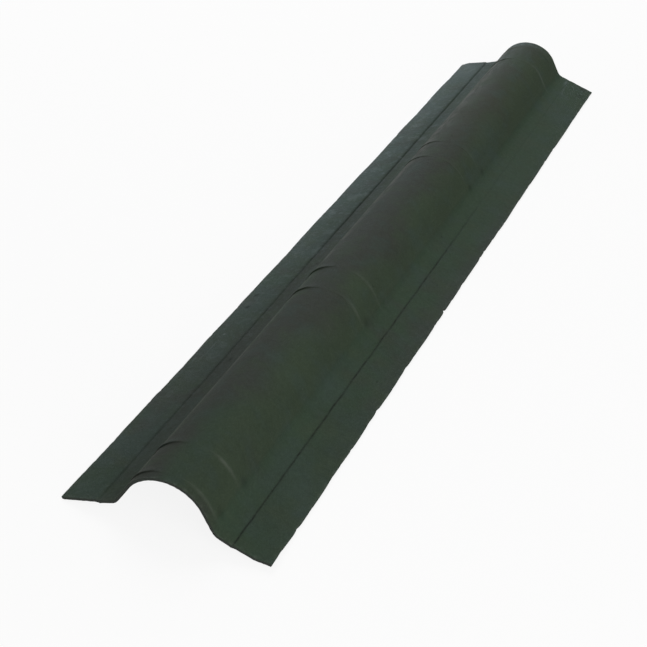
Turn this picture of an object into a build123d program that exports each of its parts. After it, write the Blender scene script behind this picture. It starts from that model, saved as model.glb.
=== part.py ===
"""Ridge cap of pressed bitumen-fibre board: one long cover that straddles the ridge of a small roof.

Units are millimetres. X runs across the cap, Y along its length and Z up.
The origin is midway along and across, at the level of the floor that the two long edges lie on.
The cap narrows towards its far end (+Y), so that this end goes under the front end of the next cap.
"""
import os
from collections import namedtuple
from math import acos, atan2, cos, degrees, hypot, radians, sin

from build123d import *

# Overall sizes
LENGTH = 1060.0
FRONT_WIDTH = 200.0
FAR_WIDTH = 187.0
THICKNESS = 2.7

# Section at the front end, measured on the weather face from the crown outwards
CROWN_RADIUS = 43.0
FLANK_ANGLE = 59.0
FLANK_LENGTH = 22.3
BAND_WIDTH = 16.1
FLANGE_SLOPE = 16.4
FOOT_RADIUS = 9.0

# Scored fold line along each flange, with the swell that scoring leaves underneath
SCORE_RADIUS = 1.0
SWELL_RADIUS = 1.6
SWELL_HEIGHT = 0.7

# Pairs of beads pressed up over the crown
BEAD_PAIRS = 4
FRONT_MARGIN = 10.0
FAR_MARGIN = 19.0
BEAD_SPACING = 45.0
BEAD_WIDTH = 6.0
BEAD_HEIGHT = 1.8
BEAD_REACH = 17.0

# How far a bead's body reaches into the weather face, at its root and at its ends
ROOT_DEPTH = 0.5
END_DEPTH = 0.2

Section = namedtuple("Section", "radius centre shoulder foot fold edge")


def downhill(start, run, slope):
    """The point that lies a run down a slope, to the right of the start."""
    return start[0] + run * cos(radians(slope)), start[1] - run * sin(radians(slope))


def beneath(point, depth, slope):
    """The point at a depth under a face that falls to the right."""
    return point[0] - depth * sin(radians(slope)), point[1] - depth * cos(radians(slope))


def in_space(point, y):
    """A section's point at a place along the length."""
    return Vector(point[0], y, point[1])


def section_at(y):
    """The weather face's right half at a place along the length, standing on the floor."""
    scale = 1 + (FAR_WIDTH / FRONT_WIDTH - 1) * (y / LENGTH + 0.5)
    radius = CROWN_RADIUS * scale
    shoulder = (radius * sin(radians(FLANK_ANGLE)), radius * cos(radians(FLANK_ANGLE)))
    foot = downhill(shoulder, FLANK_LENGTH * scale, FLANK_ANGLE)
    fold = downhill(foot, BAND_WIDTH * scale, FLANGE_SLOPE)
    flange = (FRONT_WIDTH / 2 * scale - fold[0]) / cos(radians(FLANGE_SLOPE))
    edge = downhill(fold, flange, FLANGE_SLOPE)
    centre = -beneath(edge, THICKNESS, FLANGE_SLOPE)[1]
    corners = [(x, z + centre) for x, z in (shoulder, foot, fold, edge)]
    return Section(radius, centre, *corners)


def bead_at(y):
    """A rounded bar over the crown. Its crest is an arc and a tangent line that sinks into each flank."""
    here = section_at(y)
    crest_radius = here.radius + BEAD_HEIGHT
    end = beneath(downhill(here.shoulder, BEAD_REACH, FLANK_ANGLE), END_DEPTH, FLANK_ANGLE)
    end_angle = degrees(atan2(end[1] - here.centre, end[0]))
    start_angle = end_angle + degrees(acos(crest_radius / hypot(end[0], end[1] - here.centre)))
    round_radius = (BEAD_WIDTH**2 / 4 + BEAD_HEIGHT**2) / (2 * BEAD_HEIGHT)
    with BuildPart() as bead:
        with BuildLine(Plane.XZ.offset(-y)) as crest:
            arc = CenterArc((0, here.centre), crest_radius, start_angle, 180 - 2 * start_angle)
            Line(end, arc @ 0)
            Line(arc @ 1, (-end[0], end[1]))
        path = crest.wires()[0]
        with BuildSketch(Plane(origin=path @ 0, x_dir=(0, -1, 0), z_dir=path % 0)):
            with Locations((0, -round_radius)):
                Circle(round_radius)
            with Locations((0, -BEAD_HEIGHT - ROOT_DEPTH)):
                Rectangle(
                    4 * round_radius,
                    4 * round_radius,
                    align=(Align.CENTER, Align.MAX),
                    mode=Mode.SUBTRACT,
                )
        sweep(path=path)
    return bead.part


# Beads stand in evenly pitched pairs between the two margins
pair_pitch = (LENGTH - FRONT_MARGIN - FAR_MARGIN - BEAD_SPACING) / (BEAD_PAIRS - 1)
bead_places = [
    FRONT_MARGIN + pair * pair_pitch + member * BEAD_SPACING - LENGTH / 2
    for pair in range(BEAD_PAIRS)
    for member in range(2)
]
beads = [bead_at(y) for y in bead_places]

# The right flange runs straight from the front section to the far one
front, far = section_at(-LENGTH / 2), section_at(LENGTH / 2)
fold_run = in_space(far.fold, LENGTH / 2) - in_space(front.fold, -LENGTH / 2)
flange_corners = [
    in_space(front.fold, -LENGTH / 2),
    in_space(front.edge, -LENGTH / 2),
    in_space(far.edge, LENGTH / 2),
    in_space(far.fold, LENGTH / 2),
]
across = flange_corners[1] - flange_corners[0]
flange_plane = Plane(flange_corners[0], x_dir=across, z_dir=across.cross(fold_run))
swell_centre = beneath(front.fold, THICKNESS + SWELL_HEIGHT - SWELL_RADIUS, FLANGE_SLOPE)

with BuildPart() as flange:
    with BuildSketch(flange_plane):
        with BuildLine():
            Polyline(*[flange_plane.to_local_coords(corner) for corner in flange_corners], close=True)
        make_face()
    extrude(amount=THICKNESS, dir=in_space(beneath((0, 0), 1, FLANGE_SLOPE), 0))
    with BuildSketch(Plane.XZ.offset(LENGTH / 2)):
        with Locations(swell_centre):
            Circle(SWELL_RADIUS)
    extrude(amount=fold_run.length, dir=fold_run.normalized())

with BuildPart() as score:
    with BuildSketch(Plane.XZ.offset(LENGTH / 2)):
        with Locations(front.fold):
            Circle(SCORE_RADIUS)
    extrude(amount=fold_run.length, dir=fold_run.normalized())

with BuildPart() as cap:
    for y, here in ((-LENGTH / 2, front), (LENGTH / 2, far)):
        with BuildSketch(Plane.XZ.offset(-y)):
            with BuildLine():
                crown = CenterArc((0, here.centre), here.radius, 90, -FLANK_ANGLE)
                FilletPolyline(crown @ 1, here.foot, here.fold, radius=FOOT_RADIUS)
                offset(amount=THICKNESS, side=Side.RIGHT)
            make_face()
            mirror(about=Plane.YZ)
    loft(ruled=True)
    add(flange.part)
    mirror(flange.part, about=Plane.YZ)
    add(score.part, mode=Mode.SUBTRACT)
    mirror(score.part, about=Plane.YZ, mode=Mode.SUBTRACT)
    add(beads)

cap.part.label = "ridge_cap"
os.makedirs("parts", exist_ok=True)
export_step(cap.part, "parts/ridge_cap.step")
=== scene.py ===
"""Ridge cap of pressed bitumen-fibre board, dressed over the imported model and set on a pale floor.

The board is one closed sheet, shaped by a Geometry Nodes tree from the sizes in the sidebar panel.
"""
import math
from types import SimpleNamespace

import bpy
from bpy.props import FloatProperty, FloatVectorProperty, IntProperty, PointerProperty
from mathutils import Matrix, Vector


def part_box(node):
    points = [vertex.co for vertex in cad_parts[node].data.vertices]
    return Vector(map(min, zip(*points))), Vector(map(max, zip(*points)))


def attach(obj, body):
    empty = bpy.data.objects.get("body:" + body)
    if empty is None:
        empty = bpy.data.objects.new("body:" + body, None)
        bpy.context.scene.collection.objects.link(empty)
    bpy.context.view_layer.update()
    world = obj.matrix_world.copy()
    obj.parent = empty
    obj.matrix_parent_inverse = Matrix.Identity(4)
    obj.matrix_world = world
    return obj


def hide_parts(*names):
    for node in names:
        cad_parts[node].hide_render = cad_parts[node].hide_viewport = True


bl_info = {
    "name": "Ridge cap",
    "version": (1, 0, 0),
    "blender": (4, 5, 0),
    "location": "3D View > Sidebar > Ridge cap",
    "description": "Builds a ridge cap of pressed bitumen-fibre board on a plain stage",
    "category": "Object",
}

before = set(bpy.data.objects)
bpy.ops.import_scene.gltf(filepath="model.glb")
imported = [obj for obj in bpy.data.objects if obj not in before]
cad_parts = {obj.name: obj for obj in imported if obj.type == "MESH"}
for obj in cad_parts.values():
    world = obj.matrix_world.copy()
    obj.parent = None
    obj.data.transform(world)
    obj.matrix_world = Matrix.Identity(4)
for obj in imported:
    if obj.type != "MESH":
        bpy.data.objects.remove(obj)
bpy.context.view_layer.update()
CAD_LOW, CAD_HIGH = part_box("ridge_cap")

# How much painted highlight, with some rub, each bead has on the right, and how much painted shadow lies
# behind its right end, from the front
BEAD_HIGHLIGHT_AND_WEAR = (0.92, 1.0, 0.50, 0.92, 0.22, 0.25, 1.0, 0.05)
BEAD_SHADOW = (0.8, 0.8, 0.7, 0.25, 1.0, 1.0, 0.1, 0.0)

# Chance marks on the weather face: across, along, half width, half length and strength
CHANCE_DENTS = (
    (-0.105, -0.188, 0.0026, 0.0036, 0.60),
    (-0.107, -0.162, 0.0024, 0.0032, 0.55),
    (-0.073, -0.292, 0.0018, 0.0032, 0.50),
    (0.100, 0.524, 0.0040, 0.0055, 0.38),
    (0.101, 0.500, 0.0035, 0.0050, 0.32),
    (0.109, 0.496, 0.0025, 0.0040, 0.35),
)
CHANCE_NICKS = (
    (-0.104, -0.244, 0.0011, 0.0018, 0.9),
    (-0.112, -0.296, 0.0010, 0.0050, 0.42),
    (-0.106, -0.290, 0.0010, 0.0050, 0.40),
    (-0.105, -0.268, 0.0009, 0.0120, 0.32),
    (0.075, 0.519, 0.0016, 0.0100, 0.8),
)

# How strongly points are drawn to a bead, a fold line and a foot bend, and from how far away.
# No bead draws points within the relief of an end
BEAD_PULL, BEAD_PULL_REACH = 0.86, 0.012
FOLD_PULL, FOLD_PULL_REACH = 0.85, 0.010
FOOT_PULL, FOOT_PULL_REACH = 0.45, 0.008
END_RELIEF = 0.008

# One notch in the right edge: place along the board, depth and half width
NOTCH_PLACE, NOTCH_DEPTH, NOTCH_WIDTH = -0.090, 0.0026, 0.0026

# Waves in a metre of the patterns that cover the whole face
BLOTCH_WAVES = 9.0
DUST_WAVES = 13.0
THUMB_WAVES = 24.0
LENTIL_WAVES = 140.0
FELT_WAVES = 900.0
STRAND_WAVES = 1500.0
PIT_CELLS = 60.0

# How far apart the two faces lie in those patterns, and how deep a chance mark goes
FACE_GAP = 0.05
MARK_DEPTH = 0.01

# Where the camera stands, how it is turned in degrees, and what the lamps face
CAMERA_PLACE = (0.45817, -1.39606, 0.86200)
CAMERA_TURN = (56.6173, -3.5041, 23.1030)
SENSOR_WIDTH = 36.0
LAMP_TARGET = (0.0, 0.0, 0.03)


class Graph:
    """A node tree that is written as Python expressions."""

    def __init__(self, tree):
        self.tree = tree

    def feed(self, socket, value):
        """Links a field to a socket, or sets the socket's own value."""
        if isinstance(value, Field):
            self.tree.links.new(value.socket, socket)
        else:
            socket.default_value = value

    def node(self, kind, settings=None, inputs=None, output=0):
        """Adds a node, sets it up, feeds its sockets and returns one of its outputs, where it has any."""
        made = self.tree.nodes.new(kind)
        for key, value in (settings or {}).items():
            if key == "stops":
                self.set_stops(made.color_ramp, value)
            else:
                setattr(made, key, value)
        for key, value in (inputs or {}).items():
            self.feed(made.inputs[key], value)
        return Field(self, made.outputs[output]) if made.outputs else None

    @staticmethod
    def set_stops(ramp, stops):
        """Gives a colour ramp its stops, each a place and a colour."""
        while len(ramp.elements) < len(stops):
            ramp.elements.new(1.0)
        for element, (place, colour) in zip(ramp.elements, stops):
            element.position = place
            element.color = colour

    def math(self, operation, *values):
        return self.node("ShaderNodeMath", {"operation": operation}, dict(enumerate(values)))

    def sin(self, angle):
        return self.math("SINE", angle) if isinstance(angle, Field) else math.sin(angle)

    def cos(self, angle):
        return self.math("COSINE", angle) if isinstance(angle, Field) else math.cos(angle)

    def tan(self, angle):
        return self.math("TANGENT", angle) if isinstance(angle, Field) else math.tan(angle)

    def size(self, value):
        return self.math("ABSOLUTE", value)

    def least(self, a, b):
        return self.math("MINIMUM", a, b)

    def most(self, a, b):
        return self.math("MAXIMUM", a, b)

    def between(self, value, low, high):
        return self.least(self.most(value, low), high)

    def bell(self, distance, width, power=2.0):
        """1 at no distance, falling to nothing past the width."""
        reach = self.math("POWER", self.size(distance) / width, power)
        return self.math("EXPONENT", -reach)

    def step(self, value, low, high):
        """A soft step from 0 at low to 1 at high."""
        return self.node(
            "ShaderNodeMapRange",
            {"interpolation_type": "SMOOTHSTEP"},
            {"Value": value, "From Min": low, "From Max": high},
        )

    def vector(self, x=0.0, y=0.0, z=0.0):
        return self.node("ShaderNodeCombineXYZ", None, {"X": x, "Y": y, "Z": z})

    def vector_math(self, operation, *vectors, output="Vector"):
        return self.node("ShaderNodeVectorMath", {"operation": operation}, dict(enumerate(vectors)), output)

    def noise(self, vector, scale, detail=2.0, roughness=0.5, distortion=0.0):
        """Soft noise about 0.5, at so many waves in a metre."""
        return self.node(
            "ShaderNodeTexNoise",
            {"noise_dimensions": "3D"},
            {
                "Vector": vector,
                "Scale": scale,
                "Detail": detail,
                "Roughness": roughness,
                "Distortion": distortion,
            },
        )

    def marks(self, place, spots):
        """Oval spots: each a place, a half width, a half length and how strong it is."""
        total = 0.0
        for x, y, width, length, strength in spots:
            off = self.vector_math("SUBTRACT", place, (x, y, 0.0))
            scaled = self.vector_math("DIVIDE", off, (width, length, MARK_DEPTH))
            apart = self.vector_math("LENGTH", scaled, output="Value")
            total = self.bell(apart, 1.0) * strength + total
        return total

    def blend(self, amount, a, b):
        """A colour between a and b."""
        return self.node(
            "ShaderNodeMix", {"data_type": "RGBA"}, {"Factor": amount, 6: a, 7: b}, 2
        )

    def tint(self, colour, strength):
        """A colour made lighter or darker by a value."""
        return self.node(
            "ShaderNodeVectorMath", {"operation": "SCALE"}, {0: colour, "Scale": strength}
        )


class Field:
    """A socket that takes part in arithmetic. Each operator adds its Math node to the tree."""

    def __init__(self, graph, socket):
        self.graph = graph
        self.socket = socket

    def __add__(self, other):
        return self.graph.math("ADD", self, other)

    def __radd__(self, other):
        return self.graph.math("ADD", other, self)

    def __sub__(self, other):
        return self.graph.math("SUBTRACT", self, other)

    def __rsub__(self, other):
        return self.graph.math("SUBTRACT", other, self)

    def __mul__(self, other):
        return self.graph.math("MULTIPLY", self, other)

    def __rmul__(self, other):
        return self.graph.math("MULTIPLY", other, self)

    def __truediv__(self, other):
        return self.graph.math("DIVIDE", self, other)

    def __rtruediv__(self, other):
        return self.graph.math("DIVIDE", other, self)

    def __neg__(self):
        return self.graph.math("MULTIPLY", self, -1.0)

    def __gt__(self, other):
        return self.graph.math("GREATER_THAN", self, other)


def distance_property(name, description, default):
    """A length in metres, shown in the scene's unit."""
    return FloatProperty(name=name, description=description, default=default, unit="LENGTH", precision=5)


def angle_property(name, description, degrees):
    """An angle that is given in degrees."""
    return FloatProperty(name=name, description=description, default=math.radians(degrees), subtype="ANGLE")


def colour_property(name, description, default):
    """A colour in linear light."""
    return FloatVectorProperty(
        name=name, description=description, default=default, subtype="COLOR", size=3, min=0.0, max=1.0
    )


class RidgeBoardSizes(bpy.types.PropertyGroup):
    """Sizes of the board, at its front end where they change along the length."""

    length: distance_property("Length", "Length along the ridge", CAD_HIGH[1] - CAD_LOW[1])
    front_width: distance_property("Front Width", "Width at the front end", CAD_HIGH[0] - CAD_LOW[0])
    far_width: distance_property("Far Width", "Width at the far end, which goes under the next cap", 0.187)
    thickness: distance_property("Thickness", "Thickness of the board", 0.0027)
    crown_radius: distance_property("Crown Radius", "Radius of the crown on the weather face", 0.043)
    flank_angle: angle_property("Flank Angle", "Slope of the two flanks", 59.0)
    flank_length: distance_property("Flank Length", "Flank from the crown to the foot corner", 0.0223)
    band_width: distance_property("Band Width", "Band from the foot corner to the fold line", 0.0161)
    flange_slope: angle_property("Flange Slope", "Slope of the bands and the flanges", 16.4)
    foot_radius: distance_property("Foot Radius", "Radius of the bend at the foot of a flank", 0.009)
    score_width: distance_property("Score Width", "Width of the scored fold line", 0.0024)
    score_depth: distance_property("Score Depth", "Depth of the scored fold line", 0.0010)
    score_waver: distance_property("Score Waver", "How far a fold line strays from straight", 0.0010)
    band_drop: distance_property("Band Drop", "Drop from the flange to the band at a fold line", 0.0007)
    swell_width: distance_property("Swell Width", "Width of the swell under a fold line", 0.0042)
    swell_height: distance_property("Swell Height", "Height of the swell under a fold line", 0.0007)
    bead_pairs: IntProperty(name="Bead Pairs", description="Pairs of beads over the crown", default=4, min=2)
    front_margin: distance_property("Front Margin", "Front end to the first bead", 0.010)
    far_margin: distance_property("Far Margin", "Last bead to the far end", 0.019)
    bead_spacing: distance_property("Bead Spacing", "Between the two beads of a pair", 0.045)
    bead_width: distance_property("Bead Width", "Width of a bead at its foot", 0.0064)
    bead_height: distance_property("Bead Height", "Height of a bead on the left shoulder", 0.0014)
    bead_reach: distance_property("Bead Reach", "How far a bead runs down each flank", 0.017)
    bead_waver: distance_property("Bead Waver", "How far a bead strays from its line", 0.0007)
    bead_softening: FloatProperty(
        name="Bead Softening", description="Share of a bead's height that is lost past the apex", default=0.94
    )
    undulation: distance_property("Undulation", "Dips of the pressed board between high places", 0.0007)
    edge_wander: distance_property("Edge Wander", "How far the long edges wander inwards", 0.0011)
    cut_wander: distance_property("Cut Wander", "How far the cut ends wander inwards", 0.0013)
    clipped_corner: distance_property("Clipped Corner", "Length taken off the far left corner", 0.006)
    tip_lift: distance_property("Tip Lift", "How far the front right corner is bent up", 0.0034)
    columns: IntProperty(name="Columns", description="Rows of points across the board", default=99, min=9)
    rows: IntProperty(name="Rows", description="Rows of points along the board", default=488, min=9)
    layers: IntProperty(name="Layers", description="Points through the thickness", default=3, min=2)
    seed: IntProperty(name="Seed", description="Shifts every random pattern in the board", default=7)


class RidgeBoardFinish(bpy.types.PropertyGroup):
    """Colours of the dyed board."""

    green: colour_property("Green", "Main colour of the dyed weather face", (0.031, 0.049, 0.032))
    olive: colour_property("Olive", "Colour of the deep dye on the right flank", (0.0350, 0.0492, 0.0316))
    brown: colour_property("Brown", "Colour where the bitumen shows through", (0.034, 0.0385, 0.032))
    grey_blue: colour_property("Grey Blue", "Colour where the dye is dusty", (0.035, 0.052, 0.043))
    # The score colour is also painted shade in the groove of a fold line
    score: colour_property("Score", "Colour of the crushed board in a fold line", (0.014, 0.018, 0.014))
    cut: colour_property("Cut", "Colour of the cut fibres", (0.040, 0.046, 0.040))
    under: colour_property("Under", "Colour of the undyed underside", (0.024, 0.025, 0.021))
    # The flecks on the left flange are partly painted sheen; this colour also serves the far rim and the
    # nicks
    fleck: colour_property("Fleck", "Colour of the pale flecks on the left flange", (0.075, 0.098, 0.092))
    # The scuff colour also paints the highlight on the right of the bead crests
    scuff: colour_property("Scuff", "Colour of the scuffs on high places", (0.096, 0.112, 0.092))
    ochre: colour_property("Ochre", "Colour of the crown's bare far half", (0.037, 0.0395, 0.024))
    dust: colour_property("Dust", "Colour of the dust near the right edge", (0.038, 0.0445, 0.039))
    # Colour of the painted sheen along the left shoulder
    shoulder_sheen: colour_property("Shoulder Sheen", "Colour of the rubbed streak on the left shoulder", (0.100, 0.103, 0.091))


class RidgeCapStage(bpy.types.PropertyGroup):
    """The floor, the light and the camera."""

    floor: colour_property("Floor", "Colour of the floor", (0.86, 0.86, 0.86))
    floor_radius: distance_property("Floor Radius", "Radius of the round floor", 14.0)
    sky: colour_property("Sky", "Colour of the light from all round", (1.0, 1.0, 1.0))
    sky_strength: FloatProperty(name="Sky Strength", description="Strength of that light", default=0.32)
    window: colour_property("Window", "Colour of the large light behind on the left", (0.74, 0.86, 1.0))
    window_power: FloatProperty(
        name="Window Power", description="Power of the large light", default=46.0, unit="POWER"
    )
    key_power: FloatProperty(
        name="Key Power", description="Power of the soft light above on the left", default=50.0, unit="POWER"
    )
    fill_power: FloatProperty(
        name="Fill Power", description="Power of the soft light on the right", default=50.0, unit="POWER"
    )
    lens: FloatProperty(
        name="Lens", description="Focal length of the camera", default=85.01, unit="CAMERA"
    )


def section_of(graph, size, along):
    """Lengths of the section at a place along the board, along the weather face from the crown."""
    taper = 1 + (size.far_width / size.front_width - 1) * (along / size.length + 0.5)
    radius = size.crown_radius * taper
    turn = size.flank_angle - size.flange_slope
    tangent = size.foot_radius * graph.tan(turn / 2)
    shoulder = radius * size.flank_angle
    foot_start = shoulder + size.flank_length * taper - tangent
    foot_end = foot_start + size.foot_radius * turn
    fold = foot_end + size.band_width * taper - tangent
    fold_x = radius * graph.sin(size.flank_angle)
    fold_x = fold_x + size.flank_length * taper * graph.cos(size.flank_angle)
    fold_x = fold_x + size.band_width * taper * graph.cos(size.flange_slope)
    flange = (size.front_width / 2 * taper - fold_x) / graph.cos(size.flange_slope)
    drop = radius * (1 - graph.cos(size.flank_angle))
    drop = drop + size.flank_length * taper * graph.sin(size.flank_angle)
    drop = drop + (size.band_width * taper + flange) * graph.sin(size.flange_slope)
    apex = drop + size.thickness * graph.cos(size.flange_slope)
    return SimpleNamespace(
        radius=radius,
        shoulder=shoulder,
        foot_start=foot_start,
        foot_end=foot_end,
        fold=fold,
        edge=fold + flange,
        apex=apex,
    )


def crowd(graph, place, distance, pull, width):
    """Draws points together about a place, so that a narrow form there gets enough of them."""
    return place - pull * distance * graph.bell(distance, width, 4.0)


def bead_pitch(size):
    """Distance from one pair of beads to the next."""
    run = size.length - size.front_margin - size.far_margin - size.bead_spacing
    return run / (size.bead_pairs - 1)


def bead_distance(graph, size, along):
    """Distance along the board from the nearest bead."""
    pitch = bead_pitch(size)
    first = size.front_margin + size.bead_spacing / 2 - size.length / 2
    pair = graph.between(graph.math("ROUND", (along - first) / pitch), 0.0, size.bead_pairs - 1)
    local = along - first - pair * pitch
    return graph.math("SIGN", local) * (graph.size(local) - size.bead_spacing / 2)


def arch_point(graph, size, section, run):
    """Place and slope of the weather face at a run from the crown, on the right half."""
    crown = graph.least(run, section.shoulder)
    crown_turn = crown / section.radius
    flank = graph.between(run - section.shoulder, 0.0, section.foot_start - section.shoulder)
    foot = graph.between(run - section.foot_start, 0.0, section.foot_end - section.foot_start)
    foot_turn = size.flank_angle - foot / size.foot_radius
    flange = graph.most(run - section.foot_end, 0.0)
    x = section.radius * graph.sin(crown_turn)
    x = x + flank * graph.cos(size.flank_angle)
    x = x + size.foot_radius * (graph.sin(size.flank_angle) - graph.sin(foot_turn))
    x = x + flange * graph.cos(size.flange_slope)
    z = section.apex - section.radius * (1 - graph.cos(crown_turn))
    z = z - flank * graph.sin(size.flank_angle)
    z = z - size.foot_radius * (graph.cos(foot_turn) - graph.cos(size.flank_angle))
    z = z - flange * graph.sin(size.flange_slope)
    slope = crown_turn - foot / size.foot_radius
    return x, z, slope


def fold_distance(graph, size, section, run, along, side):
    """Distance across the board from the fold line, which wavers a little."""
    waver = graph.noise(graph.vector(along, side * 2.3, 11.0), 40.0, 2.0) - 0.5
    return run - section.fold - 2 * size.score_waver * waver


def bead_front(graph, size, across, along):
    """Distance along the board from the line of the nearest bead, which wavers a little."""
    waver = graph.noise(graph.vector(across, along * 0.15, 17.0), 34.0, 2.0) - 0.5
    return bead_distance(graph, size, along) - 2 * size.bead_waver * waver


def bead_press(graph, size, section, across, along):
    """How fully the beads are pressed: nearly lost at the apex, soft on the right, fainter to the far end."""
    run = graph.size(across)
    reach = 1 - graph.step(run, section.shoulder - 0.010, section.shoulder + size.bead_reach)
    softer = 1 - size.bead_softening * graph.step(across, -0.030, -0.002)
    softer = softer + 0.36 * graph.step(across, 0.008, 0.022)
    fainter = 1 - 0.35 * graph.step(along, -0.10, 0.14) - 0.25 * graph.step(along, 0.475, 0.505)
    return reach * softer * fainter


def bead_share(graph, size, along, shares):
    """A share that is given for each bead in turn, from the front end to the far one."""
    stops = []
    for number, share in enumerate(shares):
        pair, member = divmod(number, 2)
        place = size.front_margin + pair * bead_pitch(size) + member * size.bead_spacing
        stops.append((place / size.length, (share, share, share, 1.0)))
    return graph.node("ShaderNodeValToRGB", {"stops": stops}, {"Fac": along / size.length + 0.5})


def edge_bite(graph, size, point):
    """How far a long edge is worn inwards, in slow waves, in short ragged bites and in one notch."""
    slow = graph.noise(graph.vector(point.along, point.lane, 0.0), 11.0, 1.0)
    ragged = graph.noise(graph.vector(point.along, point.lane, 5.0), 75.0, 3.0, 0.6)
    bite = size.edge_wander * (graph.step(slow, 0.3, 0.7) + 0.85 * graph.step(ragged, 0.5, 0.75))
    notch = NOTCH_DEPTH * graph.bell(point.along - NOTCH_PLACE, NOTCH_WIDTH)
    bite = bite + notch * graph.step(point.side, 0.0, 0.5)
    return bite * graph.step(point.run, point.section.edge - 0.010, point.section.edge)


def cut_bite(graph, size, point):
    """How far a cut end wanders inwards. The far left corner is clipped as well."""
    lane = point.share + point.shift
    slow = graph.noise(graph.vector(point.across, point.depth * 0.002, lane), 22.0, 2.0)
    fine = graph.noise(graph.vector(point.across, point.depth * 0.006, lane + 4.0), 260.0, 3.0, 0.7)
    bite = 0.6 * graph.step(slow, 0.35, 0.7) + 0.5 * graph.step(fine, 0.35, 0.75)
    far_end = graph.step(point.along, 0.2 * size.length, 0.5 * size.length)
    corner = point.section.edge - 1.5 * size.clipped_corner
    clip = graph.step(-point.across, corner, point.section.edge) * far_end
    near_cut = graph.step(graph.size(point.share), 0.485, 0.5)
    return near_cut * (size.cut_wander * bite + clip * size.clipped_corner)


def pressed_height(graph, size, point):
    """Height over the smooth weather face, from the pressed forms and the thickness."""
    section, across, along = point.section, point.across, point.along
    from_bead = bead_front(graph, size, across, along)
    rise = graph.step(from_bead, -0.15 * size.bead_width, -0.01 * size.bead_width)
    fall = 1 - graph.step(from_bead, 0.04 * size.bead_width, 1.4 * size.bead_width)
    bead = rise * fall * bead_press(graph, size, section, across, along)

    # Fold lines are scored deep near the front on the right and near the far end on the left
    from_fold = fold_distance(graph, size, section, point.run, along, point.side)
    scored = 0.55 + 0.9 * (graph.noise(graph.vector(along, point.lane, 8.0), 14.0, 2.0) - 0.3)
    scored = scored * (1 - 0.7 * graph.step(along * point.side, 0.02, 0.16))
    score = graph.bell(from_fold, size.score_width * 0.42) * graph.between(scored, 0.15, 1.0)
    swell = graph.bell(from_fold, size.swell_width * 0.42)
    band = 1 - graph.step(from_fold, -0.0008, 0.0004)
    band = band * graph.step(point.run, section.foot_start, section.fold)
    band = band * (1 - 0.9 * graph.step(across, 0.0, 0.010) * graph.step(along, 0.0, 0.18))

    place = graph.vector(across, along, point.shift)
    dips = 0.55 * graph.step(graph.noise(place, 7.0, 1.0), 0.25, 0.75)
    dips = dips + 0.25 * graph.step(graph.noise(place, 36.0, 2.0), 0.3, 0.7)
    dips = dips + 0.2 * graph.noise(place, 95.0, 2.0)

    press = size.bead_height * bead - size.band_drop * band - size.undulation * dips
    weather = press - size.score_depth * score
    under = press - 0.45 * size.bead_height * bead - size.swell_height * swell - size.thickness
    return weather * point.depth + under * (1 - point.depth)


def lay_out_board(graph, size):
    """Works out where every point of the sheet goes, and the marks that the finish reads."""
    at = graph.node("GeometryNodeInputPosition")
    split = [graph.node("ShaderNodeSeparateXYZ", None, {"Vector": at}, axis) for axis in range(3)]
    point = SimpleNamespace(side=graph.math("SIGN", split[0]), share=split[1], depth=split[2] + 0.5)
    point.shift = size.seed * 3.7
    point.lane = point.side * 0.37 + point.shift

    along = point.share * size.length
    pull = BEAD_PULL * graph.step(size.length / 2 - graph.size(along), 0.0, END_RELIEF)
    point.along = crowd(graph, along, bead_distance(graph, size, along), pull, BEAD_PULL_REACH)
    section = section_of(graph, size, point.along)
    point.section = section
    run = graph.size(split[0]) * 2 * section.edge
    run = crowd(graph, run, run - section.fold, FOLD_PULL, FOLD_PULL_REACH)
    from_foot = run - (section.foot_start + section.foot_end) / 2
    point.run = crowd(graph, run, from_foot, FOOT_PULL, FOOT_PULL_REACH)

    edge_run = point.run - edge_bite(graph, size, point)
    point.across = edge_run * point.side
    x, z, slope = arch_point(graph, size, section, edge_run)
    height = pressed_height(graph, size, point)

    # The front right corner is bent up a little
    tip = graph.step(point.across, section.edge - 0.018, section.edge)
    tip = tip * (1 - graph.step(point.along, -0.5 * size.length, -0.45 * size.length))

    end_x = point.side * (x + height * graph.sin(slope))
    end_y = point.along - graph.math("SIGN", point.share) * cut_bite(graph, size, point)
    end_z = graph.most(z + height * graph.cos(slope) + size.tip_lift * tip, 0.0)
    marks = {"across": point.across, "along": point.along, "depth": point.depth}
    return graph.vector(end_x, end_y, end_z), marks


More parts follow.
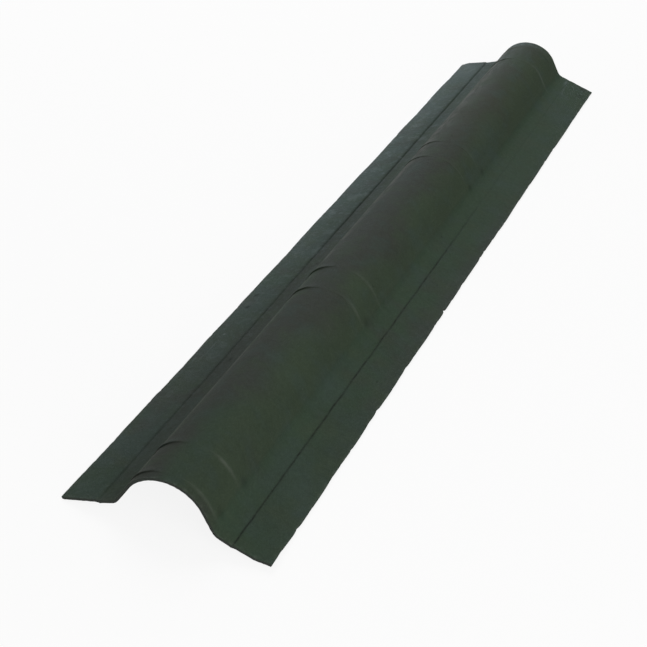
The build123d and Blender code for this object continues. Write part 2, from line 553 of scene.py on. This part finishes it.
def board_tree(sizes):
    """The Geometry Nodes tree of the board, and the identifier of each of its inputs."""
    tree = bpy.data.node_groups.new("ridge_board", "GeometryNodeTree")
    graph = Graph(tree)
    kinds = {"FLOAT": "NodeSocketFloat", "INT": "NodeSocketInt"}
    rows = [p for p in sizes.bl_rna.properties if p.type in kinds]
    identifiers = {}
    for row in rows:
        socket = tree.interface.new_socket(row.name, in_out="INPUT", socket_type=kinds[row.type])
        identifiers[row.identifier] = socket.identifier
    finish = tree.interface.new_socket("Finish", in_out="INPUT", socket_type="NodeSocketMaterial")
    identifiers["finish"] = finish.identifier
    tree.interface.new_socket("Board", in_out="OUTPUT", socket_type="NodeSocketGeometry")
    source = tree.nodes.new("NodeGroupInput")
    size = SimpleNamespace(**{row.identifier: Field(graph, source.outputs[row.name]) for row in rows})

    sheet = graph.node(
        "GeometryNodeMeshCube",
        None,
        {"Vertices X": size.columns, "Vertices Y": size.rows, "Vertices Z": size.layers},
    )
    place, marks = lay_out_board(graph, size)
    for name, value in marks.items():
        sheet = graph.node(
            "GeometryNodeStoreNamedAttribute",
            {"data_type": "FLOAT", "domain": "POINT"},
            {"Geometry": sheet, "Name": name, "Value": value},
        )
    sheet = graph.node("GeometryNodeSetPosition", None, {"Geometry": sheet, "Position": place})
    sheet = graph.node(
        "GeometryNodeSetShadeSmooth", {"domain": "FACE"}, {"Geometry": sheet, "Shade Smooth": True}
    )
    corner = graph.node("GeometryNodeInputMeshEdgeAngle") > math.radians(50.0)
    sheet = graph.node(
        "GeometryNodeSetShadeSmooth",
        {"domain": "EDGE"},
        {"Geometry": sheet, "Selection": corner, "Shade Smooth": False},
    )
    sheet = graph.node("GeometryNodeRealizeInstances", None, {"Geometry": sheet})
    sheet = graph.node(
        "GeometryNodeSetMaterial",
        None,
        {"Geometry": sheet, "Material": Field(graph, source.outputs["Finish"])},
    )
    sink = tree.nodes.new("NodeGroupOutput")
    graph.feed(sink.inputs["Board"], sheet)
    return tree, identifiers


def fibre_mat(graph, across, along):
    """Short fibres that lie across each other, from 0 between them to 1 on top."""
    mat = 0.0
    for lane, turn in enumerate((8.0, 67.0, -38.0)):
        ahead, aside = math.cos(math.radians(turn)), math.sin(math.radians(turn))
        over = across * ahead - along * aside
        length = across * aside + along * ahead
        at = graph.vector(over, length * 0.18, 20.0 + lane)
        strands = graph.noise(at, STRAND_WAVES, 2.0, 0.5, 0.6)
        mat = graph.most(mat, graph.step(strands, 0.48, 0.74))
    return mat


def paint(colour):
    """A colour as a socket takes it."""
    return (*colour, 1.0)


class Sheet:
    """The unrolled sheet as the finish sees it: where a point lies, and the patterns that cover it all."""

    def __init__(self, graph, size):
        self.graph = graph
        self.size = size
        self.across = self.mark("across")
        self.along = self.mark("along")
        self.depth = self.mark("depth")
        self.run = graph.size(self.across)
        self.side = graph.math("SIGN", self.across)
        self.section = section_of(graph, size, self.along)
        self.from_bead = bead_front(graph, size, self.across, self.along)
        self.left = 1 - graph.step(self.across, -0.080, -0.052)
        self.place = graph.vector(self.across, self.along, (self.depth - 1) * FACE_GAP)
        grain = graph.vector(self.across, self.along * 0.22, self.depth * FACE_GAP)
        self.thumb = graph.noise(self.place, THUMB_WAVES, 3.0, 0.55)
        self.lentil = graph.noise(self.place, LENTIL_WAVES, 3.0, 0.6)
        self.felt = graph.noise(grain, FELT_WAVES, 3.0, 0.65)
        self.fibres = fibre_mat(graph, self.across, self.along)
        self.flecks = self.pattern(6.0, 170.0, 3.0, 0.65)

    def mark(self, name):
        """A number that the board's tree left on its points."""
        return self.graph.node("ShaderNodeAttribute", {"attribute_name": name}, output="Fac")

    def pattern(self, layer, waves, detail=2.0, roughness=0.5, stretch=None):
        """Noise in a layer of its own, drawn out where the stretch across or along is under 1."""
        at = self.graph.vector(self.across, self.along, layer)
        if stretch:
            at = self.graph.vector_math("MULTIPLY", at, (*stretch, 1.0))
        return self.graph.noise(at, waves, detail, roughness)


def dye_washes(sheet, finish):
    """Washes over the green dye in their order, each with how much of it lies where."""
    graph, across, along = sheet.graph, sheet.across, sheet.along

    # Thin over the crown, deep on the right flank, and dusty on the left, where the grey blue is partly
    # painted sheen
    lean = 0.014 + 0.014 * (1 - graph.step(along, -0.42, -0.18))
    crown = graph.bell(across + lean, 0.040) * (1 - 0.45 * graph.step(graph.size(along), 0.22, 0.50))
    flank = graph.step(across, -0.004, 0.022) * (1 - graph.step(across, 0.055, 0.060))
    thin = graph.noise(sheet.place, BLOTCH_WAVES, 2.0, 0.5, 0.4) + 0.36 * crown - 0.14 * (1 - crown)
    thin = thin + 0.28 * graph.bell(across + 0.026, 0.016) * (1 - graph.step(along, -0.50, -0.38))
    dusty = graph.noise(graph.vector(along, across, 3.0), DUST_WAVES, 3.0, 0.5, 0.3)
    # Grey blue more on the left flange: dust, partly painted sheen from the bluish back lamp
    dusty = dusty + 0.22 * sheet.left - 0.16 * crown

    # Bare on the left band, in patches on both flanges and on the lip of the right flank
    left_band = graph.step(across, -0.086, -0.078) * (1 - graph.step(across, -0.066, -0.055))
    greyed = 0.45 + 0.35 * graph.step(along, -0.50, -0.34) - 0.5 * graph.step(along, -0.1, 0.35)
    bare = graph.step(sheet.pattern(25.0, 26.0), 0.46, 0.66)
    bare_left = sheet.left * (0.45 * bare + 0.40 * graph.bell(along + 0.31, 0.13))
    bare_right = 0.50 * bare * graph.step(across, 0.048, 0.062) * graph.bell(along + 0.15, 0.20)
    rim_dust = graph.step(across, 0.096, 0.114) * graph.bell(along + 0.05, 0.30)
    lip = 1 - graph.step(along + 0.5 * sheet.size.length, 0.006, 0.012)
    hue = sheet.pattern(14.0, 33.0, 3.0, 0.55)
    return (
        (0.85 * flank, finish.olive),
        (graph.step(thin, 0.42, 0.80), finish.brown),
        (graph.step(dusty, 0.46, 0.80), finish.grey_blue),
        (left_band * greyed, finish.brown),
        (0.55 * crown * graph.step(along, 0.05, 0.40), finish.ochre),
        (bare_left + bare_right, finish.brown),
        (0.75 * rim_dust, finish.dust),
        (0.7 * lip * graph.bell(across - 0.040, 0.018), finish.brown),
        (0.55 * graph.step(hue, 0.48, 0.68), finish.olive),
        (0.45 * graph.step(1 - hue, 0.50, 0.70), finish.grey_blue),
    )


def mottling(sheet):
    """Light and dark, at the size of a thumb, of a lentil and of the fibres."""
    graph, across = sheet.graph, sheet.across
    shade = 1 + 0.34 * (sheet.thumb - 0.5) + 0.34 * (sheet.lentil - 0.5)
    shade = shade + 0.22 * (sheet.felt - 0.5) + 0.22 * (sheet.fibres - 0.4)
    shade = shade + 0.11 * graph.bell(across - 0.066, 0.016)
    return shade + 0.09 * graph.bell(across - 0.016, 0.020) * graph.step(sheet.along, -0.5, -0.3)


def scuffs(sheet):
    """Scuffs that follow the length."""
    streaks = sheet.pattern(9.0, 210.0, 3.0, 0.6, (1.0, 0.05))
    return sheet.graph.step(streaks, 0.62, 0.82) * sheet.graph.step(sheet.thumb, 0.45, 0.7)


def pits(sheet):
    """Small pits in some of the cells of a grid."""
    graph = sheet.graph
    cells = {"Vector": graph.node("ShaderNodeTexCoord", output="Object"), "Scale": PIT_CELLS}
    spot = graph.node("ShaderNodeTexVoronoi", {"feature": "F1"}, cells, "Distance")
    chosen = graph.node("ShaderNodeTexVoronoi", {"feature": "F1"}, cells, "Color")
    pick = graph.node("ShaderNodeSeparateColor", None, {"Color": chosen}, "Red")
    pit = 1 - graph.step(spot + 0.14 * (sheet.felt - 0.5), 0.02, 0.10)
    return pit * graph.step(pick, 0.72, 1.0)


def left_wear_and_sheen(sheet):
    """Pale flecks all over, and pale patches, strokes and sparks on the left flange: wear, partly painted
    sheen that grows towards the far end.
    """
    graph, across, along = sheet.graph, sheet.across, sheet.along
    # Partly painted sheen: the left flange is made paler towards the far end, where the back lamp's sheen
    # falls
    worn = sheet.left * (0.3 + 0.7 * graph.step(along, -0.35, 0.05))
    flecked = graph.step(sheet.flecks, 0.48, 0.76) * (0.05 + 0.42 * worn)
    patches = graph.step(sheet.pattern(21.0, 58.0, 3.0, 0.6, (1.0, 0.7)), 0.52, 0.70)
    strokes = graph.step(sheet.pattern(23.0, 190.0, stretch=(0.22, 1.0)), 0.64, 0.76)
    sparks = graph.step(sheet.pattern(27.0, 230.0), 0.62, 0.72)
    outer = worn * (1 - graph.step(across, -0.106, -0.086))
    pale = worn * (0.46 * patches + 0.38 * strokes) + 0.55 * outer * sparks
    pale = pale + 0.4 * graph.bell(across + 0.086, 0.014) * graph.step(along, 0.42, 0.50)
    return flecked, graph.least(pale, 0.85)


def painted_shoulder_sheen(sheet):
    """A ragged streak of painted sheen along the left shoulder, where the flank is seen at a grazing angle,
    wider towards the far end.
    """
    graph, along = sheet.graph, sheet.along
    far_share = graph.step(along, -0.35, 0.35)
    stray = 0.010 * (graph.noise(graph.vector(0.0, along, 16.0), 26.0, 2.0) - 0.5)
    centre = 0.041 - 0.006 * far_share + stray
    streak = graph.bell(sheet.across + centre, 0.0050 + 0.0098 * far_share)
    ragged = graph.step(sheet.pattern(12.0, 110.0, 3.0, 0.6, (1.0, 0.40)), 0.36, 0.62)
    return (0.38 + 0.26 * far_share) * streak * ragged


def far_rim(sheet):
    """The pale rim of the crown at the far end."""
    graph = sheet.graph
    rim = 1 - graph.step(sheet.size.length / 2 - sheet.along, 0.006, 0.018)
    rim = rim * graph.bell(sheet.across + 0.018, 0.034)
    return 0.75 * rim * graph.step(sheet.lentil, 0.28, 0.56)


def bead_highlight_and_rub(sheet):
    """Bead crests made pale on the right: painted highlight, partly rub wear."""
    graph = sheet.graph
    patchy = graph.step(sheet.pattern(2.0, 45.0), 0.32, 0.66)
    # Painted highlight, partly rub: pale only on the right of the crests, where the bead's front wall faces
    # the fill lamp
    rubbed = graph.bell(sheet.from_bead - 0.0004, 0.0020) * graph.bell(sheet.across - 0.036, 0.018)
    wear = bead_share(graph, sheet.size, sheet.along, BEAD_HIGHLIGHT_AND_WEAR)
    return 0.65 * rubbed * (0.35 + 0.65 * patchy) * wear


def bead_shade(sheet):
    """Painted shade in the creases before the beads on the left, painted shadow behind their right ends, and
    darker patches along the right foot.
    """
    graph, size, across, along = sheet.graph, sheet.size, sheet.across, sheet.along
    on_left = graph.step(across, -0.058, -0.036) * (1 - graph.step(across, -0.026, -0.006))
    # Painted shade: a dark line just before each bead on the left, where its front wall faces away from the
    # lamps
    crease_shade = graph.bell(sheet.from_bead + 0.0008, 0.0006) * on_left
    crease_shade = crease_shade * bead_press(graph, size, sheet.section, across, along)
    # Painted shadow behind the right end of each bead, where its rear wall is in shade
    shadow_behind = graph.bell(sheet.from_bead - 0.0090, 0.0042) * graph.bell(across - 0.057, 0.0050)
    shadow_behind = shadow_behind * bead_share(graph, size, along, BEAD_SHADOW)
    # Darker in patches along the right foot
    darker_foot_patches = graph.bell(across - 0.0575, 0.0022) * graph.step(sheet.lentil, 0.35, 0.6)
    return 0.45 * crease_shade + 0.28 * shadow_behind + 0.08 * darker_foot_patches


def crushed_fold_and_shade(sheet):
    """Crushed board with painted shade in the fold lines: broken, and fading to the far right and to the
    front left.
    """
    graph, along, side = sheet.graph, sheet.along, sheet.side
    from_fold = fold_distance(graph, sheet.size, sheet.section, sheet.run, along, side)
    broken = graph.noise(graph.vector(along, side * 0.9, 29.0), 48.0, 3.0, 0.6)
    kept = 0.32 + 0.45 * graph.step(sheet.lentil, 0.35, 0.62) + 0.45 * graph.step(broken, 0.38, 0.62)
    # Partly painted shade, where the scored groove lies in shade
    crushed = graph.bell(from_fold, 0.0012 - 0.0003 * side) * kept
    crushed = crushed * (1 - 0.75 * graph.step(along * side, -0.04, 0.16))
    crushed = crushed * (1 - 0.42 * graph.step(along, 0.10, 0.45))
    return crushed * (0.70 + 0.14 * side) * graph.step(sheet.depth, 0.5, 0.9)


def cut_rim(sheet):
    """The scuffed rim along every cut."""
    graph = sheet.graph
    to_end = sheet.size.length / 2 - graph.size(sheet.along)
    to_edge = graph.least(sheet.section.edge - sheet.run, to_end)
    return 0.28 * (1 - graph.step(to_edge, 0.0008, 0.0045)) * graph.step(sheet.lentil, 0.42, 0.66)


def dyed_board(finish, size):
    """Matte dyed board: blotched dye, fibres, pits, beads worn and painted with highlight and shade, crushed
    fold lines with painted shade, painted sheen on the left, and raw cut edges.
    """
    material = bpy.data.materials.new("dyed_board")
    material.use_nodes = True
    graph = Graph(material.node_tree)
    graph.tree.nodes.clear()
    sheet = Sheet(graph, size)

    colour = paint(finish.green)
    for amount, wash in dye_washes(sheet, finish):
        colour = graph.blend(amount, colour, paint(wash))
    shade = mottling(sheet)
    colour = graph.tint(colour, shade)

    # Wear and marks on the weather face, with painted sheen, painted highlight and painted shade
    scuffed, pit = scuffs(sheet), pits(sheet)
    flecked, pale = left_wear_and_sheen(sheet)
    dents = graph.marks(sheet.place, CHANCE_DENTS)
    colour = graph.blend(0.22 * scuffed, colour, paint(finish.scuff))
    colour = graph.tint(colour, 1 - 0.45 * pit)
    # Flecks and pale patches on the left: wear, partly painted sheen
    colour = graph.blend(flecked, colour, paint(finish.fleck))
    colour = graph.blend(pale, colour, paint(finish.fleck))
    # Painted sheen along the left shoulder
    colour = graph.blend(painted_shoulder_sheen(sheet), colour, paint(finish.shoulder_sheen))
    colour = graph.blend(far_rim(sheet), colour, paint(finish.fleck))
    # Painted highlight on the right of the bead crests, partly rub wear
    colour = graph.blend(bead_highlight_and_rub(sheet), colour, paint(finish.scuff))
    # Painted shade before the beads on the left and painted shadow behind their right ends darken the colour
    colour = graph.tint(colour, 1 - bead_shade(sheet))
    colour = graph.tint(colour, 1 - dents)
    colour = graph.blend(graph.marks(sheet.place, CHANCE_NICKS), colour, paint(finish.fleck))
    # Crushed board in the fold lines, partly painted shade in the groove
    colour = graph.blend(crushed_fold_and_shade(sheet), colour, paint(finish.score))
    colour = graph.blend(cut_rim(sheet), colour, paint(finish.scuff))

    # Undyed underside, and raw fibres where the board is cut
    raw = graph.step(4 * sheet.depth * (1 - sheet.depth), 0.02, 0.25)
    cut_at = graph.vector(sheet.across, sheet.along, sheet.depth * 0.004)
    strands = graph.noise(cut_at, STRAND_WAVES, 2.0, 0.6)
    under = 1 - graph.step(sheet.depth, 0.1, 0.5)
    colour = graph.blend(under, colour, graph.tint(tuple(finish.under), shade))
    colour = graph.blend(raw, colour, graph.tint(tuple(finish.cut), 0.6 + 0.8 * strands))

    # Roughness, and fine relief as bump
    inner = 1 - graph.step(graph.size(sheet.across + 0.014), 0.056, 0.104)
    inner = inner - 0.8 * graph.bell(sheet.across + 0.050, 0.012)
    roughness = 0.61 + 0.14 * inner + 0.20 * (sheet.thumb - 0.5) + 0.18 * (sheet.lentil - 0.5)
    roughness = roughness + 0.15 * raw - 0.05 * scuffed
    relief = 0.50 * sheet.lentil + 0.28 * sheet.felt + 0.20 * sheet.fibres + 0.45 * sheet.flecks
    relief = relief - 0.8 * pit + 0.3 * strands * raw - dents
    bump = graph.node(
        "ShaderNodeBump", None, {"Strength": 0.65, "Distance": 0.0009, "Height": relief}
    )
    shader = graph.node(
        "ShaderNodeBsdfPrincipled",
        None,
        {
            "Base Color": colour,
            "Roughness": roughness,
            "Normal": bump,
            "Specular IOR Level": 0.03,
        },
    )
    graph.node("ShaderNodeOutputMaterial", None, {"Surface": shader})
    return material


def pale_floor(stage):
    """Pale floor that is white to the camera and still takes the object's shadow."""
    material = bpy.data.materials.new("pale_floor")
    material.use_nodes = True
    graph = Graph(material.node_tree)
    graph.tree.nodes.clear()
    at = graph.node("ShaderNodeTexCoord", output="Object")
    from_middle = graph.vector_math("LENGTH", at, output="Value")
    share = 0.88 + 0.12 * graph.step(from_middle, 0.6, 2.6)
    matte = graph.node("ShaderNodeBsdfDiffuse", None, {"Color": (*stage.floor, 1.0)})
    white = graph.node("ShaderNodeEmission", None, {"Color": (1.0, 1.0, 1.0, 1.0), "Strength": 1.0})
    mixed = graph.node("ShaderNodeMixShader", None, {0: seen_rays(graph) * share, 1: matte, 2: white})
    graph.node("ShaderNodeOutputMaterial", None, {"Surface": mixed})
    return material


def seen_rays(graph):
    """1 on rays that show a surface to the camera, directly or in a gloss."""
    seen = [
        graph.node("ShaderNodeLightPath", None, None, ray)
        for ray in ("Is Camera Ray", "Is Glossy Ray", "Is Transmission Ray")
    ]
    return graph.most(graph.most(seen[0], seen[1]), seen[2])


def white_world(stage):
    """Even light from all round, and white where the camera sees past the floor."""
    world = bpy.data.worlds.new("white_room")
    world.use_nodes = True
    graph = Graph(world.node_tree)
    graph.tree.nodes.clear()
    light = graph.node(
        "ShaderNodeBackground", None, {"Color": (*stage.sky, 1.0), "Strength": stage.sky_strength}
    )
    white = graph.node("ShaderNodeBackground", None, {"Color": (1.0, 1.0, 1.0, 1.0), "Strength": 1.0})
    mixed = graph.node("ShaderNodeMixShader", None, {0: seen_rays(graph), 1: light, 2: white})
    graph.node("ShaderNodeOutputWorld", None, {"Surface": mixed})
    return world


def area_lamp(name, place, size, power, colour):
    """A rectangular lamp that faces the object and stays out of the picture."""
    data = bpy.data.lights.new(name, "AREA")
    data.shape = "RECTANGLE"
    data.size, data.size_y = size
    data.energy = power
    data.color = colour
    lamp = bpy.data.objects.new(name, data)
    lamp.location = place
    aim = Vector(LAMP_TARGET) - Vector(place)
    lamp.rotation_euler = aim.to_track_quat("-Z", "Y").to_euler()
    lamp.visible_camera = False
    bpy.context.scene.collection.objects.link(lamp)
    return lamp


class RIDGECAP_OT_board(bpy.types.Operator):
    """Shape the board and give it its finish"""

    bl_idname = "ridgecap.board"
    bl_label = "Board"

    def execute(self, context):
        sizes = context.scene.ridge_board_sizes
        tree, identifiers = board_tree(sizes)
        maker = bpy.data.objects.new("board_maker", bpy.data.meshes.new("board_maker"))
        context.scene.collection.objects.link(maker)
        modifier = maker.modifiers.new("board", "NODES")
        modifier.node_group = tree
        for key, identifier in identifiers.items():
            if key != "finish":
                modifier[identifier] = getattr(sizes, key)
        modifier[identifiers["finish"]] = dyed_board(context.scene.ridge_board_finish, sizes)
        maker.update_tag()
        graph = context.evaluated_depsgraph_get()
        mesh = bpy.data.meshes.new_from_object(maker.evaluated_get(graph), depsgraph=graph)
        if not mesh.polygons:
            raise RuntimeError("the board's tree made no faces")
        maker.modifiers.remove(modifier)
        bpy.data.objects.remove(maker)
        mesh.name = "ridge_board"
        board = bpy.data.objects.new("ridge_board", mesh)
        context.scene.collection.objects.link(board)
        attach(board, "root")
        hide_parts("ridge_cap")
        return {"FINISHED"}


class RIDGECAP_OT_stage(bpy.types.Operator):
    """Lay the floor, set the lamps and place the camera"""

    bl_idname = "ridgecap.stage"
    bl_label = "Stage"

    def execute(self, context):
        scene = context.scene
        stage = scene.ridge_cap_stage
        bpy.ops.mesh.primitive_circle_add(vertices=96, radius=stage.floor_radius, fill_type="NGON")
        floor = context.object
        floor.name = "floor"
        floor.location.z = -0.0002
        floor.data.materials.append(pale_floor(stage))
        scene.world = white_world(stage)
        window = area_lamp("window", (-1.2, 3.0, 0.62), (1.8, 1.1), stage.window_power, stage.window)
        window.visible_diffuse = False
        area_lamp("key", (-1.05, 1.65, 2.28), (2.4, 2.4), stage.key_power, (1.0, 1.0, 1.0))
        area_lamp("fill", (2.0, -1.9, 1.25), (2.0, 2.0), stage.fill_power, (1.0, 0.99, 0.97))
        data = bpy.data.cameras.new("camera")
        data.lens = stage.lens
        data.sensor_width = SENSOR_WIDTH
        camera = bpy.data.objects.new("camera", data)
        camera.location = CAMERA_PLACE
        camera.rotation_euler = [math.radians(turn) for turn in CAMERA_TURN]
        scene.collection.objects.link(camera)
        scene.camera = camera
        scene.view_settings.view_transform = "Standard"
        return {"FINISHED"}


class RIDGECAP_PT_panel(bpy.types.Panel):
    """Lists the sizes, the colours and the steps"""

    bl_idname = "RIDGECAP_PT_panel"
    bl_label = "Ridge cap"
    bl_space_type = "VIEW_3D"
    bl_region_type = "UI"
    bl_category = "Ridge cap"

    def draw(self, context):
        layout = self.layout
        for group in (
            context.scene.ridge_board_sizes,
            context.scene.ridge_board_finish,
            context.scene.ridge_cap_stage,
        ):
            box = layout.box()
            for row in group.bl_rna.properties:
                if row.identifier not in ("rna_type", "name"):
                    box.prop(group, row.identifier)
        layout.operator(RIDGECAP_OT_board.bl_idname)
        layout.operator(RIDGECAP_OT_stage.bl_idname)


CLASSES = (
    RidgeBoardSizes,
    RidgeBoardFinish,
    RidgeCapStage,
    RIDGECAP_OT_board,
    RIDGECAP_OT_stage,
    RIDGECAP_PT_panel,
)


def register():
    for cls in CLASSES:
        bpy.utils.register_class(cls)
    bpy.types.Scene.ridge_board_sizes = PointerProperty(type=RidgeBoardSizes)
    bpy.types.Scene.ridge_board_finish = PointerProperty(type=RidgeBoardFinish)
    bpy.types.Scene.ridge_cap_stage = PointerProperty(type=RidgeCapStage)


def unregister():
    del bpy.types.Scene.ridge_cap_stage
    del bpy.types.Scene.ridge_board_finish
    del bpy.types.Scene.ridge_board_sizes
    for cls in reversed(CLASSES):
        bpy.utils.unregister_class(cls)


def main():
    register()
    bpy.ops.ridgecap.board()
    bpy.ops.ridgecap.stage()


if __name__ == "__main__":
    main()
